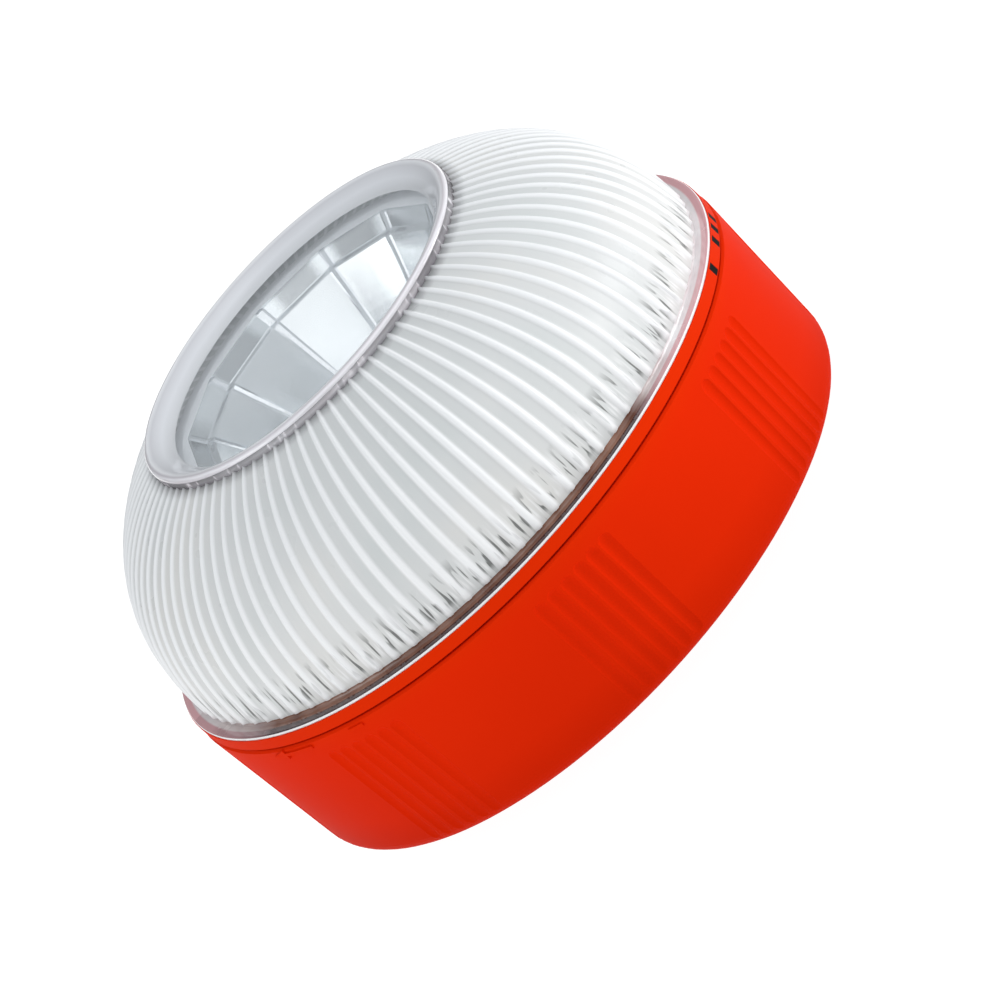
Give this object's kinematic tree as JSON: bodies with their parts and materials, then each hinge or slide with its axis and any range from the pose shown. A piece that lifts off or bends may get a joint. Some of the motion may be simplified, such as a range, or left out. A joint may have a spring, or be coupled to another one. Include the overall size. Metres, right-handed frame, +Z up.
{
  "type": "led safety flare",
  "caption": "Round magnetic roadside warning light with a fluted orange base, a twist-off ribbed clear dome, amber LEDs and an upward torch.",
  "frame": {"origin": "centre of the ground face of the magnetic foot", "axes": "+Z up through the centre of the window, -Y the front, where a grip patch is centred"},
  "size_m": [0.08, 0.08, 0.05],
  "materials": {
    "shell_orange": "satin moulded",
    "black_plastic": "matte moulded",
    "magnet": "nickel plated",
    "black_rubber": "matte rubber",
    "zinc_screw": "zinc plated",
    "button_orange": "soft moulded",
    "switch_plastic": "matte",
    "green_board": "solder mask",
    "tray_plastic": "moulded",
    "cell_sleeve": "printed sleeve",
    "nickel": "nickel plated",
    "contact_brass": "plated",
    "wire_red": "insulated wire",
    "wire_yellow": "insulated wire",
    "wire_black": "insulated wire",
    "mark_black": "inlaid",
    "clear_lens": "ribbed clear plastic",
    "clear_window": "clear polished",
    "white_plastic": "satin",
    "white_board": "white solder mask",
    "led_phosphor": "LED package",
    "ferrite": "ferrite",
    "ceramic_tan": "ceramic",
    "reflector_metal": "vacuum metallised plastic",
    "torch_phosphor": "LED package"
  },
  "bodies": {
    "base": {"base_shell": "shell_orange", "magnet_holder": "black_plastic", "ring_magnet": "magnet", "rubber_pad": "black_rubber", "foot_screws": "zinc_screw", "switch_housing": "switch_plastic", "switch_board": "green_board", "switch_screws": "zinc_screw", "battery_tray": "tray_plastic", "tray_screws": "zinc_screw", "battery_cells": "cell_sleeve", "cell_contacts": "nickel", "cell_springs": "nickel", "contact_arc_positive": "contact_brass", "contact_arc_negative": "contact_brass", "lead_battery": "wire_red", "lead_switched": "wire_yellow", "lead_negative": "wire_black"},
    "head": {"rim_ring": "shell_orange", "index_marks": "mark_black", "rim_gasket": "black_rubber", "lens_gasket": "black_rubber", "lens": "clear_lens", "window": "clear_window", "led_deck": "white_plastic", "deck_screws": "zinc_screw", "contact_pins": "contact_brass", "led_board": "white_board", "amber_leds": "led_phosphor", "led_resistors": "black_plastic", "driver_chip": "black_plastic", "inductor": "ferrite", "capacitors": "ceramic_tan", "reflector": "reflector_metal", "reflector_screws": "zinc_screw", "torch_led": "torch_phosphor"},
    "button": {"power_button": "button_orange", "switch_plunger": "black_plastic"}
  },
  "joints": [
    {"name": "head_twist", "type": "hinge", "parent": "base", "child": "head", "pos_m": [0, 0, 0.0245], "axis": [0, 0, 1], "range_deg": [0, 30]},
    {"name": "button_press", "type": "slide", "parent": "base", "child": "button", "axis": [0, 0, 1], "range_m": [0, 0.001], "stiffness_N_per_m": 3000}
  ]
}
